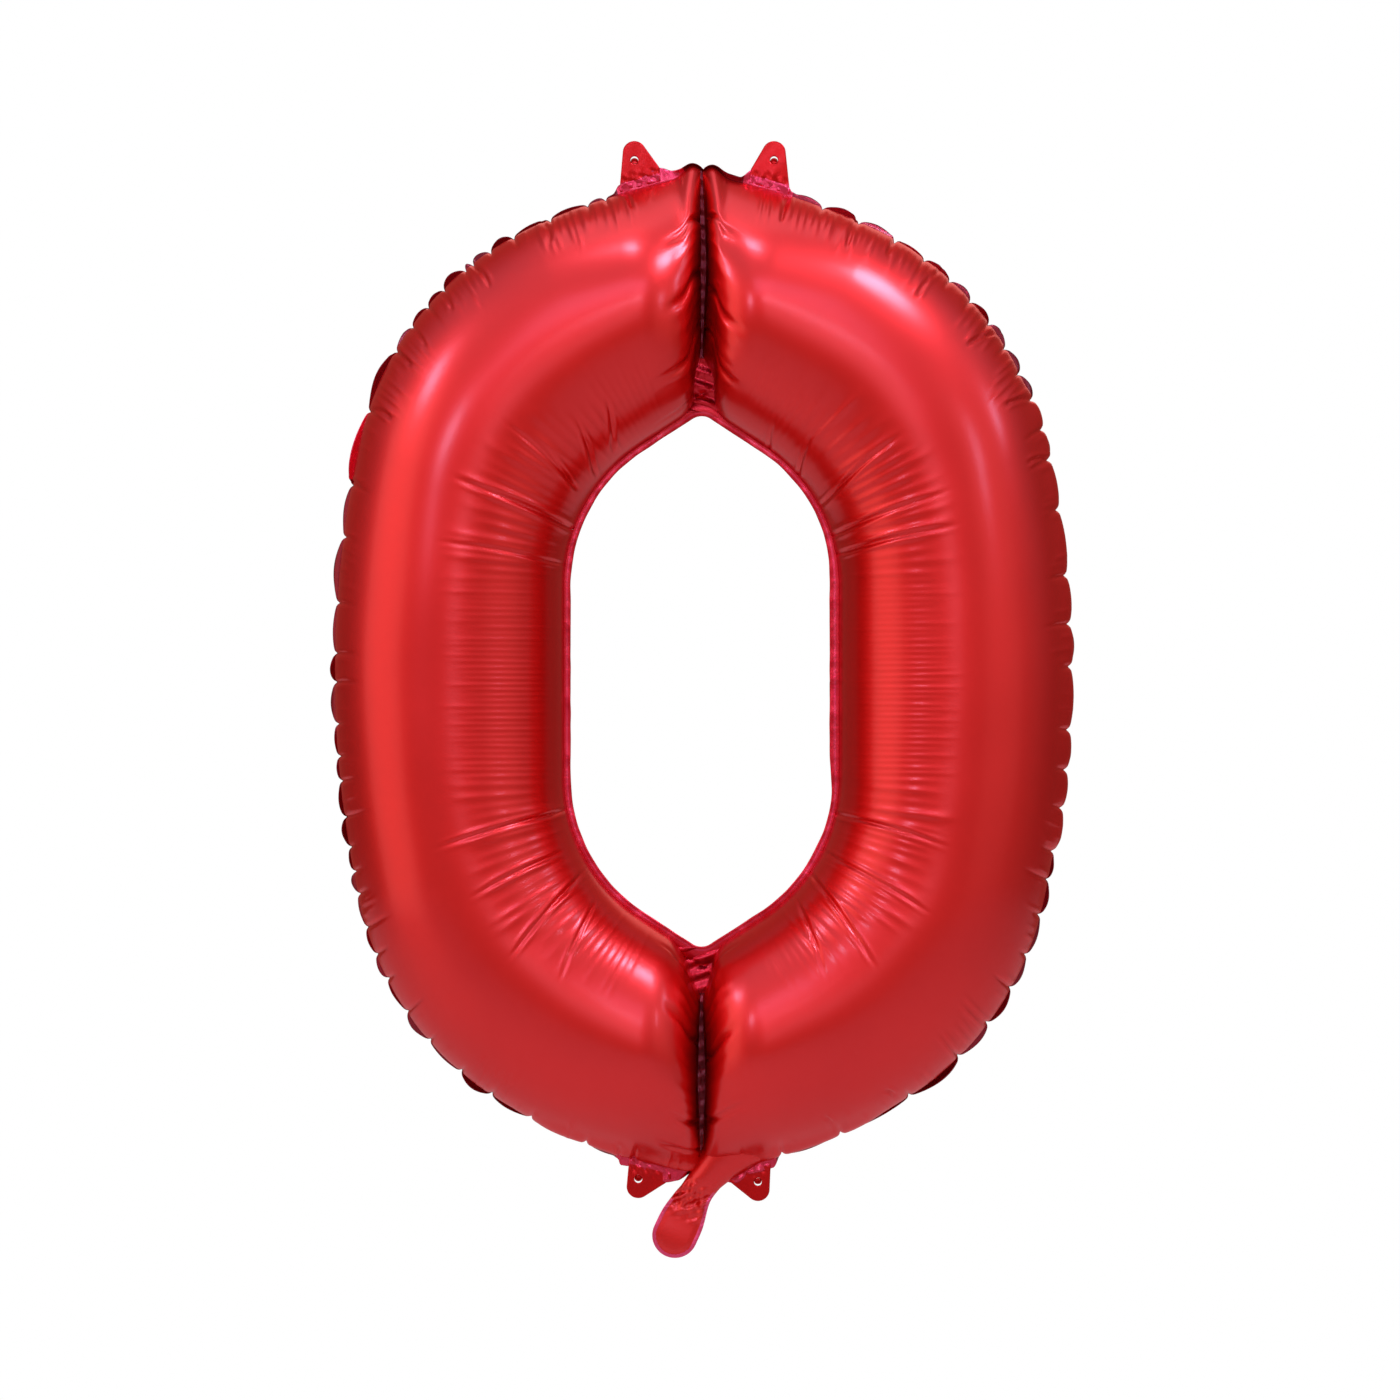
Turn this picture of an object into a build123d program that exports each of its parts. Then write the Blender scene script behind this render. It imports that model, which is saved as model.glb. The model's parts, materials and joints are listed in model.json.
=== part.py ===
"""Foil number balloon in the shape of a zero, inflated.

Two foil sheets are heat-sealed face to face around the outer edge and around the centre hole.
Two short welds, at the top and at the bottom, part the ring into a left and a right chamber.
Four hanging tabs and a filling tail grow out of the outer seal and fold along their roots.
A self-sealing valve of two thin films lies in the neck above the tail.

Millimetres. The seal plane is y = 0, the front faces -Y, +X is to the viewer's right, +Z is up.
The origin is the centre of the overall bounding box. Each foil sheet is modelled PLY thick.
"""

import math
import os

from build123d import *

# --- driving dimensions -------------------------------------------------------------------
OVERALL_HEIGHT = 860.0  # tip of the tail to the tips of the top tabs
DEPTH = 160.0  # inflated thickness, front to back
PLY = 0.6  # one foil sheet

OUTER_MIDDLE_Z = 20.8  # height of the outer outline's widest point
OUTER_HALF_WIDTH = 289.0  # cut edge of the outer seal margin
SIDE_RADIUS, SIDE_TURN = 833.0, 12.5  # arcs of the outer cut edge, from the side to the top
SHOULDER_RADIUS, SHOULDER_TURN = 243.0, 51.5
ROOF_RADIUS = 510.0
OUTER_MARGIN = 8.0  # flat seal margin outside the chambers

SEAL_LIP = 1.5  # flat seal that reaches into a chamber, past the outside of its wall

HOLE_MIDDLE_Z = 13.9
HOLE_HALF_WIDTH = 100.0  # cut edge of the centre hole
HOLE_STRAIGHT = 74.0  # half of the hole's straight side
HOLE_RADIUS, HOLE_TURN = 123.0, 57.0  # corner of the hole
HOLE_APEX_RADIUS = 12.0  # rounding where the hole's upper and lower corners meet
HOLE_MARGIN = 6.0  # flat seal margin around the hole

STATIONS = {  # share of the way round a quarter, and the share of the full depth there
    0.0: 1.0,
    0.15: 1.0,
    0.3: 1.0,
    0.45: 1.0,
    0.6: 1.0,
    0.75: 1.0,
    0.87: 0.995,
    0.95: 0.965,
}
CHAMBER_END = 0.5  # x of a chamber's flat end, half of the slit between the chambers
END_SECTIONS = (  # x, share of the full depth, pull-back at the hole, pull-back outside
    (7.0, 0.83, 12.0, 1.5),
    (CHAMBER_END, 0.62, 32.0, 4.0),
)

FOLD_CLEARANCE = 1.0  # either side of a fold line
FOLD_OUTSIDE = 1.5 + FOLD_CLEARANCE  # a tab's fold line, out from the cut edge
FOLD_REACH = 17.0  # half length of a tab's fold line
TAB_TIP_RADIUS = 9.0
TAB_ROOT_HALF_WIDTH = 16.5
TAB_HOLE_RADIUS = 3.0
TAB_HOLE_FROM_TIP = 14.8
TABS = {  # x of the tip, z of the tip, x of the root
    "top_left_tab": (-51.7, OVERALL_HEIGHT / 2, -49.0),
    "top_right_tab": (55.8, OVERALL_HEIGHT / 2, 54.0),
    "bottom_left_tab": (-48.7, -384.0, -41.0),
    "bottom_right_tab": (43.4, -386.2, 39.0),
}

TAIL_RADIUS = 17.5  # half of the tail's width, and its round end
TAIL_DIRECTION = -115.0  # degrees from +X towards +Z
TAIL_END = (-20.5, -OVERALL_HEIGHT / 2 + TAIL_RADIUS)  # centre of the round end
TAIL_LENGTH = 28.0  # centre of the round end to the fold line
TAIL_FOLD_REACH = 19.0
NECK_SHOULDERS = ((21.0, -364.0), (-16.0, -368.0))  # where the neck leaves the outer seal
NECK_RADIUS = 2.0
TAIL_INLET_RADIUS = 4.0

VALVE_START = (-6.2, -381.6)  # middle of the valve's lower edge
VALVE_DIRECTION = 50.0  # degrees from +X towards +Z
VALVE_LENGTH, VALVE_WIDTH = 72.0, 13.0
VALVE_PLY = 0.25
VALVE_GAP = 0.02  # between a valve film and the seal plane
POCKET_DEPTH = 0.3  # recess in each foil sheet that holds a valve film
POCKET_CLEARANCE = 0.5
POCKET_WALL = 2.5  # foil around the recess that stands proud by the recess depth


# --- outlines -----------------------------------------------------------------------------
def polar(centre, radius, degrees):
    """Point on a circle in the seal plane."""
    angle = math.radians(degrees)
    return centre[0] + radius * math.cos(angle), centre[1] + radius * math.sin(angle)


def outer_arcs(inset):
    """Arcs (centre, radius, from, to) of the outer outline's upper right quarter.

    z is measured from OUTER_MIDDLE_Z. inset moves the outline in from the cut edge.
    """
    turn = SIDE_TURN + SHOULDER_TURN
    side = (OUTER_HALF_WIDTH - SIDE_RADIUS, 0.0)
    shoulder = polar(side, SIDE_RADIUS - SHOULDER_RADIUS, SIDE_TURN)
    roof = polar(shoulder, SHOULDER_RADIUS - ROOF_RADIUS, turn)
    apex = math.degrees(math.acos(-roof[0] / (ROOF_RADIUS - inset)))
    return [
        (side, SIDE_RADIUS - inset, 0.0, SIDE_TURN),
        (shoulder, SHOULDER_RADIUS - inset, SIDE_TURN, turn),
        (roof, ROOF_RADIUS - inset, turn, apex),
    ]


def outer_point(share, inset):
    """Point on the outer outline, at a share of the arc length from the side to the apex."""
    arcs = outer_arcs(inset)
    left = share * sum(radius * math.radians(end - start) for _, radius, start, end in arcs)
    for centre, radius, start, end in arcs:
        length = radius * math.radians(end - start)
        if left <= length:
            break
        left -= length
    return polar(centre, radius, start + math.degrees(min(left, length) / radius))


def hole_corner(outset):
    """Centre and radius of the hole's corner arc, its upper end, and the apex above it.

    z is measured from HOLE_MIDDLE_Z. outset moves the outline out from the hole's cut edge.
    """
    centre = (HOLE_HALF_WIDTH - HOLE_RADIUS, HOLE_STRAIGHT)
    radius = HOLE_RADIUS + outset
    end = polar(centre, radius, HOLE_TURN)
    apex = (0.0, end[1] + end[0] / math.tan(math.radians(HOLE_TURN)))
    return centre, radius, end, apex


def hole_point(share, outset):
    """Point on the hole's outline, at a share of the arc length from the side to the apex."""
    centre, radius, end, apex = hole_corner(outset)
    arc = radius * math.radians(HOLE_TURN)
    slope = math.dist(end, apex)
    left = share * (HOLE_STRAIGHT + arc + slope)
    if left <= HOLE_STRAIGHT:
        return HOLE_HALF_WIDTH + outset, left
    if left <= HOLE_STRAIGHT + arc:
        return polar(centre, radius, math.degrees((left - HOLE_STRAIGHT) / radius))
    rest = min(1.0, (left - HOLE_STRAIGHT - arc) / slope)
    return end[0] * (1 - rest), end[1] + (apex[1] - end[1]) * rest


def quarter_region(middle_z, draw_outline):
    """Region that mirrors an outline of its upper right quarter left and down."""
    plane = Plane(origin=(0, 0, middle_z), x_dir=(1, 0, 0), z_dir=(0, -1, 0))
    with BuildSketch(plane) as region:
        with BuildLine() as quarter:
            draw_outline()
            side, top = quarter.line @ 0, quarter.line @ 1
            Polyline((top.X, top.Y), (0, 0), (side.X, side.Y))
        make_face()
        mirror(about=Plane.YZ)
        mirror(about=Plane.XZ)
    return region.sketch


def draw_outer():
    """Outer cut edge, from the side to the apex."""
    for centre, radius, start, end in outer_arcs(0.0):
        ThreePointArc(*[polar(centre, radius, a) for a in (start, (start + end) / 2, end)])


def draw_hole():
    """Cut edge of the centre hole, from the side to the apex."""
    centre, radius, end, apex = hole_corner(0.0)
    start = (HOLE_HALF_WIDTH, HOLE_STRAIGHT)
    Line((HOLE_HALF_WIDTH, 0), start)
    ThreePointArc(start, polar(centre, radius, HOLE_TURN / 2), end)
    rounding = (0.0, apex[1] - HOLE_APEX_RADIUS / math.sin(math.radians(HOLE_TURN)))
    arc = [polar(rounding, HOLE_APEX_RADIUS, a) for a in (HOLE_TURN, (HOLE_TURN + 90) / 2, 90)]
    Line(end, arc[0])
    ThreePointArc(*arc)


def half_plane(fold, reach, offset):
    """Long rectangle on the outer side of a fold line, from offset beyond it."""
    point, direction = fold
    length = 60.0
    with BuildSketch(Plane.XZ) as region:
        with Locations(polar(point, offset + length / 2, direction)):
            Rectangle(length, 2 * reach, rotation=direction)
    return region.sketch


def tab_fold(name):
    """Middle of a tab's fold line, and the direction out of the balloon, in degrees."""
    _, tip_z, root_x = TABS[name]
    centre, radius, _, _ = outer_arcs(0.0)[-1]
    from_x = math.degrees(math.acos((abs(root_x) - centre[0]) / radius))
    edge = polar(centre, radius, from_x)
    direction = from_x if root_x > 0 else 180 - from_x
    if tip_z < 0:
        direction = -direction
    edge = (root_x, OUTER_MIDDLE_Z + math.copysign(edge[1], tip_z))
    return polar(edge, FOLD_OUTSIDE, direction), direction


def tab_region(name):
    """Hanging tab with its eyelet, running on past its fold line into the outer seal."""
    tip_x, tip_z, _ = TABS[name]
    fold, direction = tab_fold(name)
    down = -math.copysign(1, tip_z)
    with BuildSketch(Plane.XZ) as region:
        with Locations((tip_x, tip_z + down * TAB_TIP_RADIUS)):
            Circle(TAB_TIP_RADIUS)
        with Locations(polar(fold, -FOLD_OUTSIDE - OUTER_MARGIN / 2, direction)):
            Rectangle(1, 2 * TAB_ROOT_HALF_WIDTH, rotation=direction)
        make_hull()
        with Locations((tip_x, tip_z + down * TAB_HOLE_FROM_TIP)):
            Circle(TAB_HOLE_RADIUS, mode=Mode.SUBTRACT)
    return region.sketch


def tail_fold():
    """Middle of the tail's fold line, and the direction out of the balloon, in degrees."""
    return polar(TAIL_END, -TAIL_LENGTH, TAIL_DIRECTION), TAIL_DIRECTION


def tail_region():
    """Neck and filling tail, from the outer seal to the round tip."""
    with BuildSketch(Plane.XZ) as region:
        with Locations(TAIL_END):
            Circle(TAIL_RADIUS)
        with Locations(*NECK_SHOULDERS):
            Circle(NECK_RADIUS)
        make_hull()
    return region.sketch


def valve_region(extra):
    """The valve strip, grown by extra all round."""
    middle = polar(VALVE_START, VALVE_LENGTH / 2, VALVE_DIRECTION)
    with BuildSketch(Plane.XZ) as region:
        with Locations(middle):
            Rectangle(
                VALVE_LENGTH + 2 * extra,
                VALVE_WIDTH + 2 * extra,
                rotation=VALVE_DIRECTION,
            )
    return region.sketch


# --- chamber ------------------------------------------------------------------------------
def half_sections(down, inset):
    """Sections (inner point, outer point, half depth) from the side to one chamber end."""
    sections = []
    for share, fullness in STATIONS.items():
        inner_x, inner_z = hole_point(share, HOLE_MARGIN + inset)
        outer_x, outer_z = outer_point(share, OUTER_MARGIN + inset)
        sections.append((inner_x, inner_z, outer_x, outer_z, fullness))
    for x, fullness, pull_in, pull_out in END_SECTIONS:
        inner_z = hole_point(1.0, HOLE_MARGIN + inset)[1] + pull_in
        outer_z = outer_point(1.0, OUTER_MARGIN + inset)[1] - pull_out
        sections.append((x + inset, inner_z, x + inset, outer_z, fullness))
    return [
        (
            (inner_x, HOLE_MIDDLE_Z + down * inner_z),
            (outer_x, OUTER_MIDDLE_Z + down * outer_z),
            DEPTH / 2 * fullness,
        )
        for inner_x, inner_z, outer_x, outer_z, fullness in sections
    ]


def chamber_sections(inset):
    """Sections of the right chamber from its upper end round to its lower end."""
    return half_sections(1, inset)[::-1] + half_sections(-1, inset)[1:]


def chamber_skin():
    """Front wall of the right chamber: half ellipses from the inner to the outer seam.

    It runs on a little behind the seal plane, and is trimmed there with the rest of the sheet.
    """
    angles = [math.radians(-8 + 14 * step) for step in range(15)]
    rows = []
    for inner, outer, half_depth in chamber_sections(0.0):
        middle = ((inner[0] + outer[0]) / 2, (inner[1] + outer[1]) / 2)
        half = ((outer[0] - inner[0]) / 2, (outer[1] - inner[1]) / 2)
        rows.append(
            [
                Vector(
                    middle[0] + half[0] * math.cos(angle),
                    -half_depth * math.sin(angle),
                    middle[1] + half[1] * math.cos(angle),
                )
                for angle in angles
            ]
        )
    return Solid.thicken(Face.make_surface_from_array_of_points(rows), PLY)


def chamber_ends():
    """Flat walls that close the two ends of the right chamber."""
    with BuildPart() as ends:
        for inner, outer, half_depth in (chamber_sections(0.0)[0], chamber_sections(0.0)[-1]):
            plane = Plane(
                origin=(CHAMBER_END + PLY / 2, 0, (inner[1] + outer[1]) / 2),
                x_dir=(0, 1, 0),
                z_dir=(1, 0, 0),
            )
            with BuildSketch(plane):
                Ellipse(half_depth - PLY / 2, abs(outer[1] - inner[1]) / 2 - PLY / 2)
            extrude(amount=PLY)
    return ends.part


def chamber_footprint():
    """Region of the right chamber on the seal plane, inside its walls and the seal's lip."""
    sections = chamber_sections(SEAL_LIP)
    with BuildSketch(Plane.XZ) as region:
        with BuildLine():
            outer = Spline(*[section[1] for section in sections])
            inner = Spline(*[section[0] for section in sections])
            Line(outer @ 0, inner @ 0)
            Line(outer @ 1, inner @ 1)
        make_face()
    return region.sketch


# --- foil sheets --------------------------------------------------------------------------
with BuildPart() as front_film:
    with BuildSketch(Plane.XZ):
        add(quarter_region(OUTER_MIDDLE_Z, draw_outer))
        for tab in TABS:
            add(tab_region(tab))
        add(tail_region())
        add(quarter_region(HOLE_MIDDLE_Z, draw_hole), mode=Mode.SUBTRACT)
        for tab in TABS:
            trim = half_plane(tab_fold(tab), FOLD_REACH, -FOLD_CLEARANCE)
            add(trim, mode=Mode.SUBTRACT)
        trim = half_plane(tail_fold(), TAIL_FOLD_REACH, -FOLD_CLEARANCE)
        add(trim, mode=Mode.SUBTRACT)
    extrude(amount=PLY)
    with BuildSketch(Plane.XZ):
        add(valve_region(POCKET_WALL))
        add(half_plane(tail_fold(), 2 * TAIL_FOLD_REACH, -3.0), mode=Mode.SUBTRACT)
    extrude(amount=PLY + POCKET_DEPTH)
    with BuildSketch(Plane.XZ):
        add(chamber_footprint())
        mirror(about=Plane.YZ)
    extrude(amount=DEPTH, mode=Mode.SUBTRACT)
    for wall in (chamber_skin(), chamber_ends()):
        add(wall)
        mirror(wall, about=Plane.YZ)
    with BuildSketch(Plane.XZ):
        add(valve_region(POCKET_CLEARANCE))
    extrude(amount=POCKET_DEPTH, mode=Mode.SUBTRACT)
    split(bisect_by=Plane.XZ, keep=Keep.TOP)
front_film.part.label = "front_film"

with BuildPart() as back_film:
    mirror(front_film.part, about=Plane.XZ)
back_film.part.label = "back_film"

# --- hanging tabs -------------------------------------------------------------------------
tabs = []
for tab in TABS:
    with BuildPart() as tab_part:
        with BuildSketch(Plane.XZ):
            add(tab_region(tab))
            outside = half_plane(tab_fold(tab), 2 * FOLD_REACH, FOLD_CLEARANCE)
            add(outside, mode=Mode.INTERSECT)
        extrude(amount=PLY, both=True)
    tab_part.part.label = tab
    tabs.append(tab_part.part)

# --- filling tail -------------------------------------------------------------------------
with BuildPart() as tail_front_film:
    with BuildSketch(Plane.XZ):
        add(tail_region())
        outside = half_plane(tail_fold(), 2 * TAIL_FOLD_REACH, FOLD_CLEARANCE)
        add(outside, mode=Mode.INTERSECT)
    extrude(amount=PLY)
tail_front_film.part.label = "tail_front_film"

with BuildPart() as tail_back_film:
    mirror(tail_front_film.part, about=Plane.XZ)
    with BuildSketch(Plane.XZ):
        with Locations(TAIL_END):
            Circle(TAIL_INLET_RADIUS)
    extrude(amount=-PLY, mode=Mode.SUBTRACT)
tail_back_film.part.label = "tail_back_film"

# --- self-sealing valve -------------------------------------------------------------------
with BuildPart() as valve_front_film:
    with BuildSketch(Plane.XZ.offset(VALVE_GAP)):
        add(valve_region(0.0))
    extrude(amount=VALVE_PLY)
valve_front_film.part.label = "valve_front_film"

with BuildPart() as valve_back_film:
    mirror(valve_front_film.part, about=Plane.XZ)
valve_back_film.part.label = "valve_back_film"

# --- files --------------------------------------------------------------------------------
pieces = [front_film.part, back_film.part, *tabs]
pieces += [tail_front_film.part, tail_back_film.part]
pieces += [valve_front_film.part, valve_back_film.part]

os.makedirs("parts", exist_ok=True)
for piece in pieces:
    export_step(piece, f"parts/{piece.label}.step")
    box = piece.bounding_box()
    print(piece.label, len(piece.solids()), round(piece.volume), piece.is_valid, box)
for tab in TABS:
    print(tab, tab_fold(tab))
print("tail", tail_fold())
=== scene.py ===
"""Looks of the foil number balloon: puckered chambers, seal margins, tabs, filling tail, foil.

Outlines are in millimetres in the CAD frame (front faces -Y), and turn into metres when a mesh
is made. "Side" is -1 for the left chamber and 1 for the right one, and "up" is 1 for the upper
half and -1 for the lower one. Random draws are seeded, and their order matters.
"""

import json
import math
from collections import namedtuple

import bmesh
import bpy
import numpy as np
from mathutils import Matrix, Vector

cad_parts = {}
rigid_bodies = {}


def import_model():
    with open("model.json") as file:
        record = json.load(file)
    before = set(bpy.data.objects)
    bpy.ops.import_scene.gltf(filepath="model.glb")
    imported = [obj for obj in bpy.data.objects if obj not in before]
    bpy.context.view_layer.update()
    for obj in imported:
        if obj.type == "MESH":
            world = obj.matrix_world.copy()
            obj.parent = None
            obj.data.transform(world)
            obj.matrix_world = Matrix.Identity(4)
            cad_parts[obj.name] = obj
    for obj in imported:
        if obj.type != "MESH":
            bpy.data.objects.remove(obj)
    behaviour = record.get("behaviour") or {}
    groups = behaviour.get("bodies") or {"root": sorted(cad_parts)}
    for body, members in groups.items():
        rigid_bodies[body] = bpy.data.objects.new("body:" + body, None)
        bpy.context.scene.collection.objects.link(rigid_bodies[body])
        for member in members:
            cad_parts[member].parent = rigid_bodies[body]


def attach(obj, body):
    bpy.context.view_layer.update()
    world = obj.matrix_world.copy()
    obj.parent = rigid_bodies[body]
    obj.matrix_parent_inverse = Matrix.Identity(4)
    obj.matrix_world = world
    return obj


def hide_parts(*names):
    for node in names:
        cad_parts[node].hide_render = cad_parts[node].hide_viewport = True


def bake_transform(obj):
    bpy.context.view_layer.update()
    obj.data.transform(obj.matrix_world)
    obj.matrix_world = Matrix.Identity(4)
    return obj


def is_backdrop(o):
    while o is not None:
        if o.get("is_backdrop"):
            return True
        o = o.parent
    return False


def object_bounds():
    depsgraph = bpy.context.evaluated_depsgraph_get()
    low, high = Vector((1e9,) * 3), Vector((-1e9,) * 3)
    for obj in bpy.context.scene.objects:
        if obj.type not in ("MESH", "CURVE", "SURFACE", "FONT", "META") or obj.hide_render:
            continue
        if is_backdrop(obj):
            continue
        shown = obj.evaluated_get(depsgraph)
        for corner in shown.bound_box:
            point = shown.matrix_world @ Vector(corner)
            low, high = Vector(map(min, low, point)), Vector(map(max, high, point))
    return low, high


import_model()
CAD_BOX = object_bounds()
MM = 0.001
TINY = 1e-9

# --- outlines, as in the CAD --------------------------------------------
OUTER_Z, OUTER_X = 20.8, 289.0
OUTER_ARCS = ((833.0, 12.5), (243.0, 51.5), (510.0, 36.0))  # radius, turn
OUTER_MARGIN, HOLE_MARGIN = 8.0, 6.0
HOLE_Z, HOLE_X, HOLE_STRAIGHT = 13.9, 100.0, 74.0
HOLE_RADIUS, HOLE_TURN = 123.0, 57.0
HOLE_APEX = 12.0  # radius that rounds the hole's upper and lower corner
DEPTH = 80.0
COLUMNS = 413  # of each quarter of a chamber
FRONT_ROWS, BACK_ROWS = 96, 25
END_X = 1.0  # from the middle to the closed ends of the chambers
SLIT_HALF = 0.45  # closest that the film of a chamber comes to the middle
CHAMBER_SEEDS = {-1: 5, 1: 11}
MARGIN_SEED, TAIL_SEED = 23, 9


def smooth(values, sigma):
    """Gaussian smoothing along the first axis that keeps both ends."""
    reach = int(4 * sigma) + 1
    kernel = np.exp(-0.5 * (np.arange(-reach, reach + 1) / sigma) ** 2)
    kernel /= kernel.sum()
    values = np.asarray(values, float)
    flat = values.reshape(len(values), -1)
    out = np.empty_like(flat)
    for k in range(flat.shape[1]):
        column = flat[:, k]
        before = 2 * column[0] - column[1 : reach + 1][::-1]
        after = 2 * column[-1] - column[-reach - 1 : -1][::-1]
        out[:, k] = np.convolve(np.concatenate((before, column, after)), kernel, "valid")
    return out.reshape(values.shape)


def step(low, high, x):
    """Smooth rise from 0 at low to 1 at high."""
    t = np.clip((x - low) / (high - low), 0, 1)
    return t * t * (3 - 2 * t)


def bump(x, middle, half):
    """1 at the middle, falling to 0 on both sides."""
    return np.exp(-(((x - middle) / half) ** 2))


def heading(degrees):
    """Unit vector (x, z) of a direction."""
    turn = math.radians(degrees)
    return np.array((math.cos(turn), math.sin(turn)))


def run_along(points, step_size=0.5):
    """Even points along a polyline, and their distances from its start."""
    points = np.asarray(points, float)
    length = np.concatenate(((0,), np.cumsum(np.linalg.norm(np.diff(points, axis=0), axis=1))))
    at = np.linspace(0, length[-1], int(length[-1] / step_size) + 1)
    return np.stack([np.interp(at, length, points[:, k]) for k in range(2)], axis=1), at


def outer_quarter(inset):
    """Outer outline's upper right quarter from the side to the apex; z from OUTER_Z."""
    points, centre, angle, last = [], np.array((0.0, 0.0)), 0.0, None
    for radius, turn in OUTER_ARCS:
        here = heading(angle)
        if last is None:
            centre = np.array((OUTER_X - radius, 0.0))
        else:
            centre = centre + here * (last - radius)
        for a in np.linspace(angle, angle + turn, 240)[(1 if points else 0) :]:
            points.append(centre + (radius - inset) * heading(a))
        angle, last = angle + turn, radius
    points = np.array(points)
    return points[points[:, 0] > 0.0]


def hole_quarter(outset):
    """Hole outline's upper right quarter from the side; z from HOLE_Z. It runs to x = 0."""
    centre = np.array((HOLE_X - HOLE_RADIUS, HOLE_STRAIGHT))
    turn = np.radians(np.linspace(0, HOLE_TURN, 120))
    arc = centre + (HOLE_RADIUS + outset) * np.stack((np.cos(turn), np.sin(turn)), axis=1)
    end = arc[-1]
    apex = (0.0, end[1] + end[0] / math.tan(math.radians(HOLE_TURN)))
    return np.vstack([(HOLE_X + outset, 0.0), arc, apex])


# Where each quarter leaves the hole's outline and turns along the weld to its closed end:
# x where it leaves, then (x, z) in the CAD frame up to the end.
END_PATHS = {
    (-1, 1): (13.0, ((6.0, 228.0), (5.0, 250.0), (END_X, 264.0))),
    (1, 1): (17.0, ((10.0, 227.0), (9.0, 250.0), (END_X, 264.0))),
    (-1, -1): (23.0, ((11.0, -201.0), (7.5, -214.0), (END_X, -228.0))),
    (1, -1): (15.0, ((8.5, -200.0), (6.0, -214.0), (END_X, -228.0))),
}
# Knobs of film at the top of the slit: x of the middle, height, half width.
KNOBS = {-1: (7.5, 8.5, 8.5), 1: (8.5, 7.5, 7.5)}
FOOT_DROP, FOOT_WIDTH = 5.0, 14.0  # how the seam dips at the lower end of the slit
# How far each end draws back from the slit halfway up: top, bottom.
SLIT_GAPS = {-1: (1.2, 3.6), 1: (5.0, 3.8)}


def quarter_seams(side, up):
    """Columns of one quarter: inner seam, outer seam (x, z), distance along the outer one."""
    leave, end_path = END_PATHS[side, up]
    hole = hole_quarter(HOLE_MARGIN)
    apex = hole[-1]
    hole = hole[hole[:, 0] > leave]
    end = hole[-1]
    share = (end[0] - leave) / (end[0] - apex[0])
    hole = np.vstack([hole, end + (apex - end) * share])
    path = [(x, HOLE_Z + up * z) for x, z in hole] + list(end_path)
    inner, inner_at = run_along(path)
    inner = smooth(inner, 7)
    outer = outer_quarter(OUTER_MARGIN)
    outer = outer[outer[:, 0] > END_X]
    if up > 0:
        middle, height, half = KNOBS[side]
        outer[:, 1] += height * bump(outer[:, 0], middle, half)
    else:
        outer[:, 1] -= FOOT_DROP * np.clip(1 - outer[:, 0] / FOOT_WIDTH, 0, 1) ** 2
    outer[:, 1] = OUTER_Z + up * outer[:, 1]
    outer, outer_at = run_along(outer)

    # distances along both seams that a column joins, from the side to the closed end
    total, inside = outer_at[-1], inner_at[-1]
    knots_out = (0, 157, 428, total - 41, total - 14, total)
    knots_in = (0, 74, 202, inside - 45, inside - 20, inside)
    dense_out = np.linspace(0, total, 2000)
    dense_in = smooth(np.interp(dense_out, knots_out, knots_in), 45)
    dense_in = np.clip(dense_in, 0, inside)
    dense_in[-1] = inside

    # columns stand closer together towards the closed end
    pace = np.gradient(0.5 * (dense_out + dense_in))
    pace = np.cumsum(pace * (1 + 1.2 * step(total - 60, total, dense_out)))
    s_out = np.interp(np.linspace(pace[0], pace[-1], COLUMNS), pace, dense_out)
    s_in = np.interp(s_out, dense_out, dense_in)
    inner = np.stack([np.interp(s_in, inner_at, inner[:, k]) for k in (0, 1)], axis=1)
    outer = np.stack([np.interp(s_out, outer_at, outer[:, k]) for k in (0, 1)], axis=1)
    inner[:, 0] *= side
    outer[:, 0] *= side
    return inner, outer, s_out


def lobe_seams(side):
    """Columns of a chamber from its upper end to its lower end; distances are 0 at the side."""
    top, low = quarter_seams(side, 1), quarter_seams(side, -1)
    inner, outer = (np.vstack([top[k][::-1], low[k][1:]]) for k in (0, 1))
    return inner, outer, np.concatenate([top[2][::-1], -low[2][1:]])


# --- creases ------------------------------------------------------------
# Long creases on the front: x, z at the shallow end, x, z at the deep end, depth, half width.
LONG_CREASES = {
    -1: (
        (-121, 191, -98, 163, 1.3, 1.5),
        (-146, 207, -99, 165, 1.2, 1.5),
        (-182, 165, -104, 133, 2.2, 1.9),
        (-194, 118, -113, 105, 1.4, 1.5),
        (-95, 212, -82, 175, 1.2, 1.4),
        (-72, 229, -68, 193, 1.2, 1.5),
        (-194, -110, -112, -87, 1.9, 1.7),
        (-170, -147, -113, -119, 1.3, 1.6),
        (-143, -193, -96, -138, 1.5, 1.6),
        (-105, -208, -84, -160, 1.0, 1.4),
    ),
    1: (
        (147, 197, 96, 153, 1.5, 1.5),
        (181, 155, 106, 128, 1.9, 1.7),
        (188, 130, 110, 113, 2.0, 1.7),
        (181, -109, 108, -89, 1.5, 1.6),
        (169, -159, 102, -121, 1.2, 1.5),
        (128, -197, 87, -138, 1.6, 1.6),
        (93, -208, 75, -158, 1.2, 1.5),
        (84, 200, 74, 172, 0.8, 1.3),
        (56, 214, 52, 190, 0.8, 1.3),
    ),
}
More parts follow.
